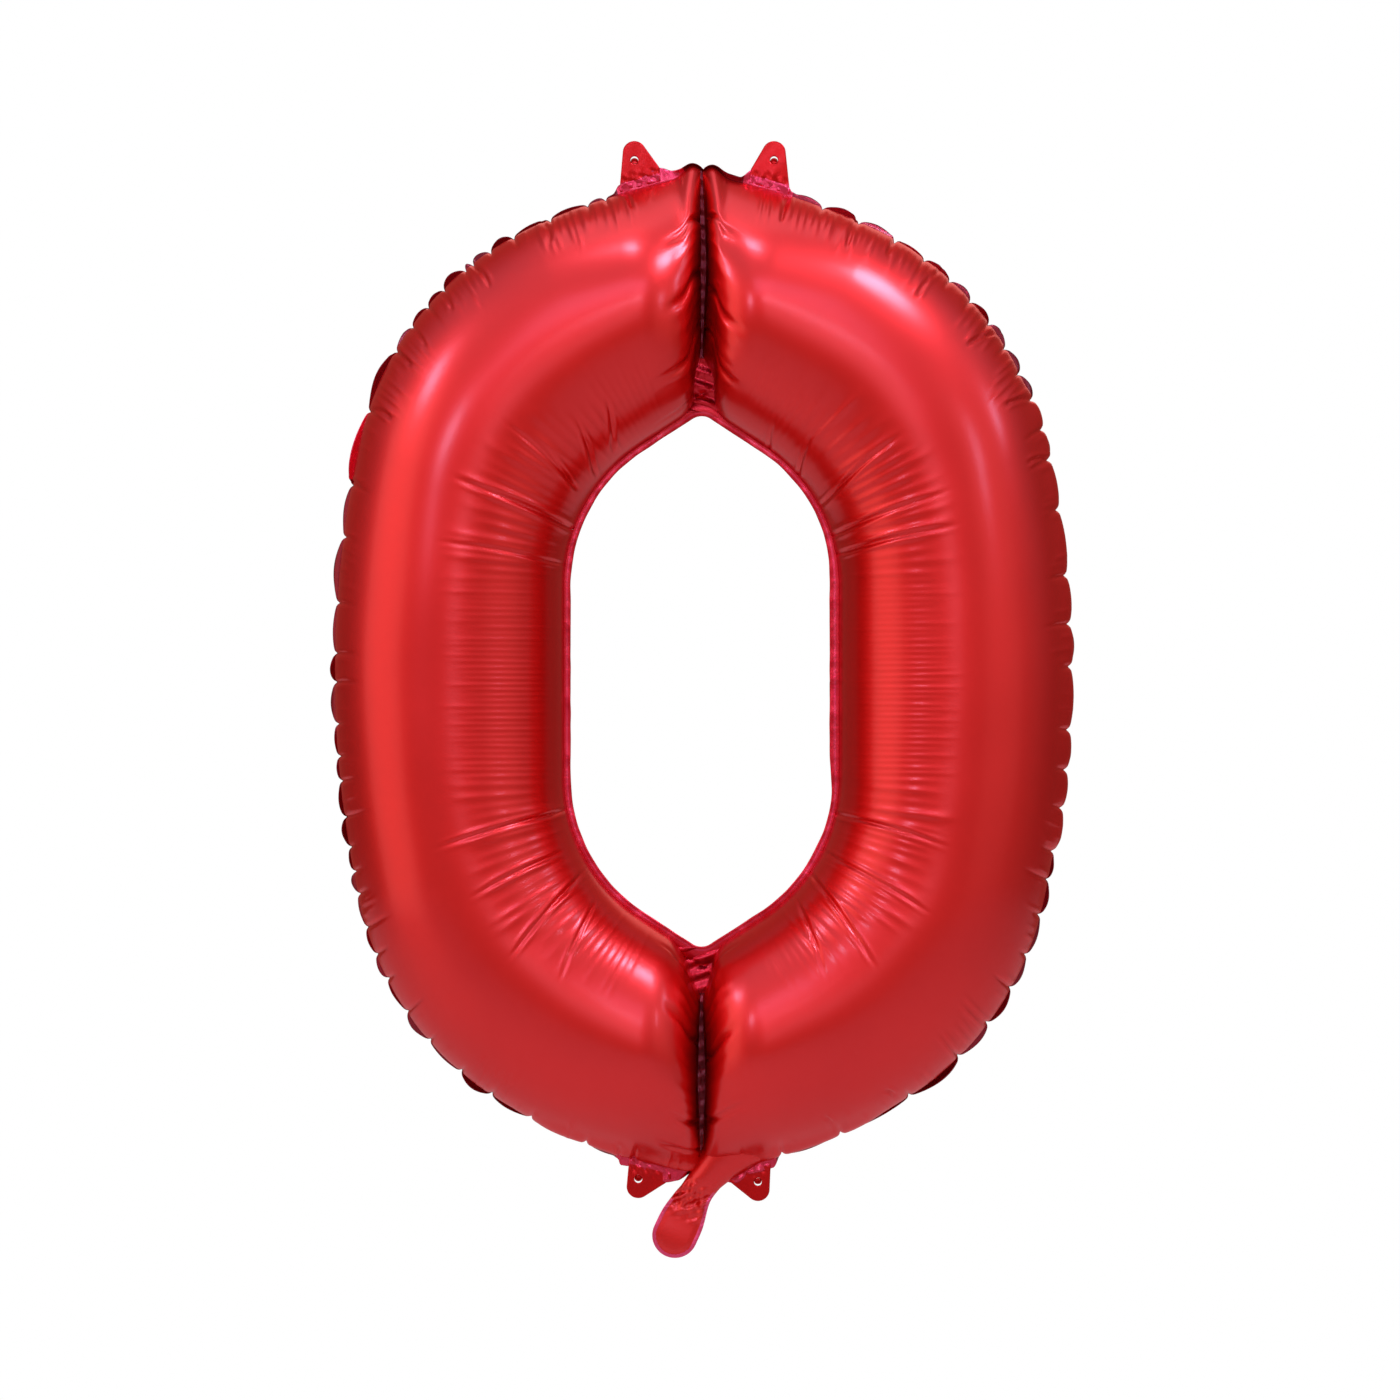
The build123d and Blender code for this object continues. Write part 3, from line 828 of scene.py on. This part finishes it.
# --- welds between the chambers -----------------------------------------
def weld(name, low, high, painted_shade_from, seed):
    """Creased plate between the chambers' ends, from the hole to where they meet.

    Further from the middle than the height given, where the slit starts, it gets the dark margin
    foil as painted shade deep in the slit.
    """
    rng = np.random.default_rng(seed)
    up = low > 0
    heights = np.linspace(low, high, 150)
    across = np.linspace(-1, 1, 34)
    rows, columns = len(heights), len(across)
    size = rows * columns
    edges = {}
    for side, lobe in LOBES.items():
        end = lobe.inner[:160] if up else lobe.inner[-160:]
        order = np.argsort(end[:, 1])
        edges[side] = np.interp(heights, end[order, 1], np.abs(end[order, 0]))
    from_hole = np.abs(heights - (low if up else high))
    near = step(0, 44, from_hole)  # 1 in the slit
    points = []
    for face in (-1, 1):
        for i, h in enumerate(heights):
            for t in across:
                x = t * (edges[1 if t > 0 else -1][i] + 2.5 + 5.0 * near[i])
                fold = 2.4 * math.sin(0.55 * from_hole[i] + 0.18 * x)
                crease = 2.6 * math.exp(-abs(from_hole[i] - 14 - 0.55 * x) / 1.6)
                y = (fold + crease) * (1 - t * t) * (1 - 0.8 * near[i]) + rng.normal(0, 0.12)
                points.append((x, y + face * 0.3, h))
    faces = grid_faces(rows, columns, wrap_rows=False)
    faces += [f[::-1] for f in grid_faces(rows, columns, wrap_rows=False, offset=size)]
    border = [(0, k) for k in range(columns)] + [(i, columns - 1) for i in range(1, rows)]
    border += [(rows - 1, k) for k in range(columns - 2, -1, -1)]
    border += [(i, 0) for i in range(rows - 2, 0, -1)]
    for (i, k), (m, n) in zip(border, border[1:] + border[:1]):
        a, b = i * columns + k, m * columns + n
        faces.append((a, b, b + size, a + size))
    # Painted shade: the dark margin foil on the part of the plate deep in the slit.
    dark = np.abs(heights) > painted_shade_from
    slots = [int(dark[f[0] // columns % rows]) for f in faces]
    made = new_object(name, points, faces, [HOLE_SEAL, SHADED_MARGIN_FOIL], slots)
    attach(made, "balloon")


weld("top_weld_web", 221.0, 408.5, painted_shade_from=262.0, seed=3)
weld("bottom_weld_web", -360.0, -190.5, painted_shade_from=226.0, seed=4)


# --- hanging tabs and tail ----------------------------------------------
def hull(points):
    """Convex hull of points, anticlockwise."""
    points = sorted(set(map(tuple, points)))

    def chain(items):
        """One side of the hull."""
        out = []
        for p in items:
            while len(out) > 1 and (
                (out[-1][0] - out[-2][0]) * (p[1] - out[-2][1])
                - (out[-1][1] - out[-2][1]) * (p[0] - out[-2][0])
            ) <= 0:
                out.pop()
            out.append(p)
        return out[:-1]

    return np.array(chain(points) + chain(points[::-1]))


def circle(x, z, radius):
    """Points on a circle."""
    turn = np.linspace(0, 2 * math.pi, 48, endpoint=False)
    return [(x + radius * math.cos(t), z + radius * math.sin(t)) for t in turn]


def ray_to(outline, centre, direction):
    """Distance from centre to a convex outline in a direction."""
    best = 1e9
    for p, q in zip(outline, np.roll(outline, -1, axis=0)):
        edge = q - p
        denominator = direction[0] * edge[1] - direction[1] * edge[0]
        if abs(denominator) < 1e-12:
            continue
        gap = p - centre
        t = (gap[0] * edge[1] - gap[1] * edge[0]) / denominator
        s = (gap[0] * direction[1] - gap[1] * direction[0]) / denominator
        if t > 0 and -1e-9 <= s <= 1 + 1e-9:
            best = min(best, t)
    return best


PLATE_RINGS, PLATE_SPOKES = 18, 120


def plate(name, outline, centre, hole, relief, materials, choose):
    """Thin plate between a round hole and a convex outline.

    Relief gives y and the half thickness of a place, and choose gives its material slot.
    """
    centre = np.asarray(centre, float)
    points, slots, faces = [], [], []
    for face in (-1, 1):
        for share in np.linspace(0, 1, PLATE_RINGS) ** 0.9:
            for k in range(PLATE_SPOKES):
                turn = 2 * math.pi * k / PLATE_SPOKES
                direction = np.array((math.cos(turn), math.sin(turn)))
                far = ray_to(outline, centre, direction)
                radius = hole + (far - hole) * share
                x, z = centre + direction * radius
                lift, half = relief(x, z, far - radius)
                points.append((x, lift + face * half, z))
    size = PLATE_RINGS * PLATE_SPOKES
    for face in (0, 1):
        for quad in grid_faces(PLATE_RINGS, PLATE_SPOKES, offset=face * size):
            faces.append(quad if face else quad[::-1])
            middle = np.mean([points[q] for q in quad], axis=0)
            slots.append(choose(middle[0], middle[2]))
    for start in (0, size - PLATE_SPOKES):
        for k in range(PLATE_SPOKES):
            a, b = start + k, start + (k + 1) % PLATE_SPOKES
            faces.append((a, b, b + size, a + size))
            slots.append(0)
    return new_object(name, points, faces, materials, slots)


TABS = {  # tip x, z; fold x, z; direction from the fold to the tip; reach of the flared root
    "top_left_tab": (-51.7, 430.0, -49.657, 403.006, 105.24, 18.5),
    "top_right_tab": (55.8, 430.0, 54.682, 401.610, 74.18, 18.0),
    "bottom_left_tab": (-48.7, -384.0, -41.618, -363.526, -104.31, 19.0),
    "bottom_right_tab": (43.4, -386.2, 39.608, -364.035, -75.92, 20.0),
}
TIP_RADIUS, ROOT_HALF, ROOT_BELOW = 9.0, 16.5, 8.5
EYELET_RADIUS, EYELET_FROM_TIP = 3.0, 14.8
FLAP_RADIUS, FLAP_SWING, FLAP_HALF, FLAP_SPOKES = 2.9, 31.0, 0.1, 24


def eyelet_flap(name, hole, inwards):
    """Disc cut out of an eyelet, swung back about its edge nearest the chamber."""
    swing, size = math.radians(FLAP_SWING), 3 * FLAP_SPOKES
    points, faces = [], []
    for face in (-1, 1):
        for radius in (0.0, 1.5, FLAP_RADIUS):
            for k in range(FLAP_SPOKES):
                turn = 2 * math.pi * k / FLAP_SPOKES
                reach = FLAP_RADIUS + radius * math.sin(turn)
                z = hole[1] + inwards * (FLAP_RADIUS - reach * math.cos(swing))
                y = reach * math.sin(swing) + face * FLAP_HALF
                points.append((hole[0] + radius * math.cos(turn), y, z))
    for offset in (0, size):
        faces += grid_faces(3, FLAP_SPOKES, offset=offset)
    for k in range(FLAP_SPOKES):
        a, b = size - FLAP_SPOKES + k, size - FLAP_SPOKES + (k + 1) % FLAP_SPOKES
        faces.append((a, b, b + size, a + size))
    return new_object(name, points, faces, [SHADED_PLATE_FOIL])


for name, (tip_x, tip_z, fold_x, fold_z, direction, flare) in TABS.items():
    inwards = -math.copysign(1, tip_z)
    out = heading(direction)
    side_way = np.array((-out[1], out[0]))
    fold = np.array((fold_x, fold_z))
    outline = circle(tip_x, tip_z + inwards * TIP_RADIUS, TIP_RADIUS)
    for reach in (-ROOT_HALF, ROOT_HALF):
        outline.append(tuple(fold - out * ROOT_BELOW + side_way * reach))
    to_middle = side_way * -math.copysign(1, side_way[0] * tip_x)
    outline.append(tuple(fold + out * 1.5 + to_middle * flare))
    hole = np.array((tip_x, tip_z + inwards * EYELET_FROM_TIP))
    phases = np.random.default_rng(abs(int(tip_x * 10))).uniform(0, 6.28, 3)

    def past_fold(x, z, fold=fold, out=out):
        """Distance past the fold line."""
        return (x - fold[0]) * out[0] + (z - fold[1]) * out[1]

    def relief(x, z, edge, fold=fold, side_way=side_way, phases=phases, past_fold=past_fold):
        """Crumpled root, slow waves, and a rim that thins towards the edge."""
        along = past_fold(x, z)
        across = (x - fold[0]) * side_way[0] + (z - fold[1]) * side_way[1]
        root = float(1 - step(-3.0, 6.0, along))
        lift = root * 0.5 * math.sin(across * 0.8 + phases[0])
        lift += root * 0.35 * math.sin(across * 0.5 - along * 0.9 + phases[1])
        lift += 0.35 * math.sin(across * 0.2 + along * 0.12 + phases[2])
        return lift, 0.22 + 0.3 * float(step(0.0, 0.8, edge))

    def choose(x, z, past_fold=past_fold):
        """Bright seal foil, also painted sheen, on the chamber's side of the fold; past it the
        darker plate foil is painted shade.
        """
        return int(past_fold(x, z) < -2.5)

    tab = plate(
        name + "_foil", hull(outline), hole, EYELET_RADIUS, relief, [SHADED_PLATE_FOIL, SEAL_AND_SHEEN], choose
    )
    flap = eyelet_flap(name + "_flap", hole, inwards)
    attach(flap, name)
    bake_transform(tab)
    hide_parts(name)

# neck and filling tail: an inflated funnel out of the right chamber that flattens at the fold
TAIL_FOLD, TAIL_RADIUS, TAIL_LENGTH = np.array((-8.667, -387.123)), 17.5, 28.0
TAIL_OUT = heading(-115)
TAIL_SIDE = np.array((-TAIL_OUT[1], TAIL_OUT[0]))
TAIL_SEAL = 2.7  # width of its seal
NECK_START = -58.0
NECK = {  # distance past the fold: half width, half depth, shift to the right
    NECK_START: (27.0, 13.5, 17.0),
    -46.0: (24.0, 16.5, 14.5),
    -34.0: (18.5, 14.5, 10.0),
    -26.0: (15.0, 12.5, 6.5),
    -18.0: (13.2, 10.5, 3.2),
    -8.0: (12.8, 6.5, 0.8),
    -3.0: (13.8, 3.0, 0.2),
    2.0: (14.9, 1.2, 0.0),
    8.0: (16.2, 0.8, 0.0),
    14.0: (17.2, 0.62, 0.0),
    20.0: (17.5, 0.58, 0.0),
    TAIL_LENGTH: (17.5, 0.58, 0.0),
}


def tail_edge(across, d, half):
    """Distance of a place on the tail from its edge, which is round past TAIL_LENGTH."""
    if d < TAIL_LENGTH:
        return half - abs(across)
    return TAIL_RADIUS - math.hypot(across, d - TAIL_LENGTH)


rng = np.random.default_rng(TAIL_SEED)
tail_waves = [
    (rng.uniform(0.15, 0.9), rng.uniform(-0.9, 0.9), rng.uniform(0, 6.28)) for _ in range(7)
]
rounding = TAIL_LENGTH + TAIL_RADIUS * np.sin(np.linspace(0.03, 1.56, 34))
along = np.concatenate((np.linspace(NECK_START, TAIL_LENGTH, 130), rounding))
half_width, half_depth, shift = (
    smooth(np.interp(along, list(NECK), [row[k] for row in NECK.values()]), 2.2) for k in range(3)
)
tip = along > TAIL_LENGTH
half_width[tip] = np.sqrt(np.maximum(TAIL_RADIUS**2 - (along[tip] - TAIL_LENGTH) ** 2, 0.02))
half_depth[tip] = NECK[TAIL_LENGTH][1]
turns = np.linspace(0, 2 * math.pi, 96, endpoint=False)
points, slots = [], []
for d, half, deep, move in zip(along, half_width, half_depth, shift):
    crumple = float(step(-20, -8, d) * (1 - step(2, 16, d)))
    flat = float(step(0, 6, d))
    for turn in turns:
        across, rise = half * math.cos(turn), abs(math.sin(turn))
        edge = tail_edge(across, d, half)
        body = deep * rise ** (1 - 0.75 * flat)
        groove = 0.16 * flat * math.exp(-(((edge - 3.2) / 0.6) ** 2)) * rise
        body = max(body - groove, 0.0) + 0.5 * flat * float(step(3.4, 7, edge)) * rise
        y = -body if turn < math.pi else body
        wave = sum(math.sin(a * across + b * d + c) for a, b, c in tail_waves)
        bend = 0.55 * crumple * wave + 0.7 * flat * math.sin(0.13 * d + 0.5)
        x, z = TAIL_FOLD + TAIL_OUT * d + TAIL_SIDE * across + (move, 0.0)
        points.append((x, y + bend, z))
for here, beyond, half in zip(along[:-1], along[1:], half_width):
    d = (here + beyond) / 2
    for turn in turns:
        across = half * math.cos(turn + math.pi / len(turns))
        on_seal = tail_edge(across, d, half) < TAIL_SEAL and d > -14
        slots.append(int(on_seal and (d > 3 or math.cos(turn) > 0.5)))
points, faces = capped(points, grid_faces(len(along), len(turns)), len(turns))
slots += [0] * (len(faces) - len(slots))
tail = new_object("filling_tail_foil", points, faces, [FOIL, SEAM_LINE], slots)
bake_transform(tail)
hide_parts("tail_front_film", "tail_back_film")

# --- carried-over CAD nodes ---------------------------------------------
CLEAR = film_material()
for obj in bpy.data.objects:
    if obj.type == "MESH" and obj.name.startswith(("valve_front_film", "valve_back_film")):
        obj.data.materials.clear()
        obj.data.materials.append(CLEAR)

# --- camera, light, floor -----------------------------------------------
DISTANCE, VIEW_WIDTH = 3.6, 1.078  # metres, the width where the balloon hangs
SENSOR = 36.0
scene = bpy.context.scene
camera_data = bpy.data.cameras.new("camera")
camera = bpy.data.objects.new("camera", camera_data)
scene.collection.objects.link(camera)
camera.location = (-0.0012, -DISTANCE, -0.0004)
camera.rotation_euler = (math.radians(90), 0, 0)
camera_data.sensor_width = SENSOR
camera_data.lens = SENSOR * DISTANCE / VIEW_WIDTH
camera_data.clip_end = 50
scene.camera = camera
scene.view_settings.view_transform = "Standard"


def area_light(name, place, target, size, size_y, power, colour):
    """Rectangular light at a place, turned to its target, that the camera doesn't see."""
    data = bpy.data.lights.new(name, "AREA")
    data.shape = "RECTANGLE"
    data.size, data.size_y = size, size_y
    data.energy, data.color = power, colour
    light = bpy.data.objects.new(name, data)
    scene.collection.objects.link(light)
    light.location = place
    way = Vector(target) - Vector(place)
    light.rotation_euler = way.to_track_quat("-Z", "Y").to_euler()
    light.visible_camera = False


PINK = (0.9, 1.05, 1.65)
area_light("left_soft_box", (-2.5, -1.0, 0.2), (0, 0, 0), 1.9, 2.4, 14, (1, 0.78, 0.72))
area_light("right_soft_box", (2.2, -1.9, 0.3), (0, 0, 0), 1.8, 1.8, 3, (1, 0.8, 0.78))
area_light("front_strip", (0.2, -4.6, 0.85), (0, 0, 0), 0.9, 2.0, 7.5, (1, 0.79, 1.03))
area_light("above_camera_box", (-0.16, -4.2, 2.3), (0, 0, 0.1), 2.8, 1.3, 17, (0.93, 0.98, 1.85))
area_light("above_camera_bar", (0.1, -3.4, 0.98), (0, 0, 0.25), 1.1, 0.12, 4.0, PINK)
area_light("left_small_box", (-1.3, -2.35, 0.72), (-0.19, 0, 0.2), 0.22, 0.22, 3.4, PINK)
area_light("right_small_box", (1.9, -1.9, 0.75), (0.21, 0, 0.19), 0.18, 0.3, 1.6, PINK)
area_light("right_side_box", (2.3, -0.65, 1.1), (0.22, 0, 0.21), 0.2, 0.3, 2.0, PINK)
area_light("overhead_right_box", (0.82, -0.7, 1.49), (0.12, 0, 0.31), 0.37, 0.28, 7.7, PINK)
area_light("low_right_box", (1.06, -0.95, 1.55), (-0.05, 0, -0.2), 0.34, 0.16, 1.1, PINK)
area_light("overhead_box", (-0.29, -0.8, 2.5), (0, 0, 0.3), 0.4, 0.3, 7.5, PINK)
area_light("overhead_left_box", (-2.0, -0.97, 1.38), (-0.2, 0, 0.24), 0.3, 0.35, 5.5, PINK)
area_light("ceiling_panel", (-0.1, 0.4, 2.8), (0, 0, 0), 2.0, 1.2, 7, (1, 0.85, 1.05))
area_light("back_soft_box", (0.4, 3.2, 1.6), (0, 0, 0), 2.4, 1.8, 13, (1, 0.62, 0.56))

# The world is white behind the balloon for the camera, and for the film it is a room that is
# pinker above, warmer and darker behind, and brighter at the top.
world = bpy.data.worlds.new("studio")
scene.world = world
world.use_nodes = True
tree = world.node_tree
tree.nodes.clear()
link = tree.links.new
output = node(tree, "ShaderNodeOutputWorld")
mix = node(tree, "ShaderNodeMixShader")
path = node(tree, "ShaderNodeLightPath")
seen = node(tree, "ShaderNodeBackground", Color=(1, 1, 1, 1), Strength=1.0)
room = node(tree, "ShaderNodeBackground")
ways = node(tree, "ShaderNodeTexCoord")
split_ways = node(tree, "ShaderNodeSeparateXYZ")
link(ways.outputs["Generated"], split_ways.inputs["Vector"])


def along_axis(axis, low, high, at_low=0.0, at_high=1.0, interpolation="LINEAR"):
    """Value that changes with the direction, between two places on an axis."""
    ends = {"From_Min": low, "From_Max": high, "To_Min": at_low, "To_Max": at_high}
    made = node(tree, "ShaderNodeMapRange", **ends)
    made.interpolation_type = interpolation
    link(split_ways.outputs[axis], made.inputs["Value"])
    return made.outputs["Result"]


warmth = ramp(tree, 0.4, (1, 0.55, 0.45), 0.85, (1, 1.2, 1.55))
link(along_axis("Z", -1.0, 1.0), warmth.inputs["Fac"])
behind = node(tree, "ShaderNodeMixRGB", Color2=(1, 0.4, 0.33, 1))
link(along_axis("Y", 0.1, 0.6), behind.inputs["Fac"])
link(warmth.outputs["Color"], behind.inputs["Color1"])
link(behind.outputs["Color"], room.inputs["Color"])
strength = node(tree, "ShaderNodeMath")
strength.operation = "MULTIPLY"
link(along_axis("Y", -0.35, 0.45, 0.66, 0.36, "SMOOTHSTEP"), strength.inputs[0])
link(along_axis("Z", -0.55, 0.6, 0.5, 1.15, "SMOOTHSTEP"), strength.inputs[1])
link(strength.outputs["Value"], room.inputs["Strength"])
link(path.outputs["Is Camera Ray"], mix.inputs["Fac"])
link(room.outputs["Background"], mix.inputs[1])
link(seen.outputs["Background"], mix.inputs[2])
link(mix.outputs["Shader"], output.inputs["Surface"])

bpy.ops.mesh.primitive_grid_add(x_subdivisions=2, y_subdivisions=2, size=1, location=(0, 0, 0))
floor = bpy.context.active_object
floor.name = "floor"
floor.scale = (9.4, 9.4, 1)
floor.location = (0, -0.1, -1.3)
floor_material, _, floor_shader = new_material("floor_pale")
set_inputs(floor_shader, Base_Color=(0.80, 0.71, 0.62, 1), Roughness=0.8)
floor.data.materials.append(floor_material)
floor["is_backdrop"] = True

for box in (CAD_BOX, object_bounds()):
    json.dumps([[float(v) for v in corner] for corner in box]) + "\n"
